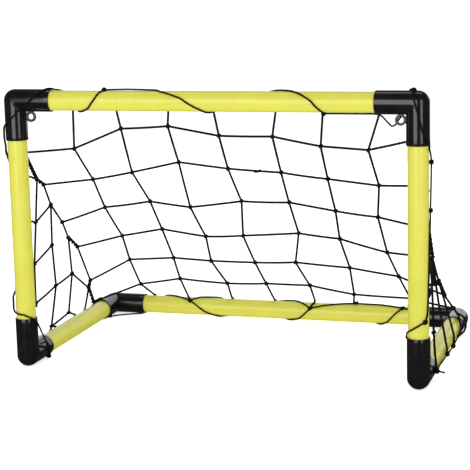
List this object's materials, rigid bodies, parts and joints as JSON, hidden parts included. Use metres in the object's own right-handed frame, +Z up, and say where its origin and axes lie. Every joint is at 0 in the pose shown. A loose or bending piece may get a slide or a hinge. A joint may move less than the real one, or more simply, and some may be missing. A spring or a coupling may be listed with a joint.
{
  "type": "toy football goal",
  "caption": "Small football goal: push-fit tube frame with elbows at its corners, a sloping knotted net and hanging eyelets.",
  "frame": {"origin": "on the ground, under the middle of the goal's outer box", "axes": "+X along the crossbar to the right post as seen from the mouth, +Y to the rear, +Z up; the mouth faces -Y"},
  "size_m": [0.5394, 0.3334, 0.3594],
  "materials": {
    "tube": "smooth lime-yellow extruded plastic tube, glossy",
    "elbow": "black moulded plastic, glossy with a faint orange peel",
    "net": "black knotted twine net, matt",
    "cord": "black braided lacing cord, matt"
  },
  "bodies": {
    "base": {"rear_bar_tube": "tube", "rear_bar_lacing": "cord", "side_left_tube": "tube", "side_left_lacing": "cord", "side_right_tube": "tube", "side_right_lacing": "cord", "front_foot_left": "elbow", "front_foot_right": "elbow", "rear_elbow_left": "elbow", "rear_elbow_right": "elbow", "net_back_panel": "net", "net_left_panel": "net", "net_right_panel": "net"},
    "front_frame": {"crossbar_tube": "tube", "crossbar_lacing": "cord", "post_left_tube": "tube", "post_left_lacing": "cord", "post_right_tube": "tube", "post_right_lacing": "cord", "top_elbow_left": "elbow", "top_elbow_right": "elbow"}
  },
  "joints": [
    {"name": "front_frame_lift", "type": "slide", "parent": "base", "child": "front_frame", "axis": [0, 0, 1], "range_m": [0, 0.04]}
  ]
}
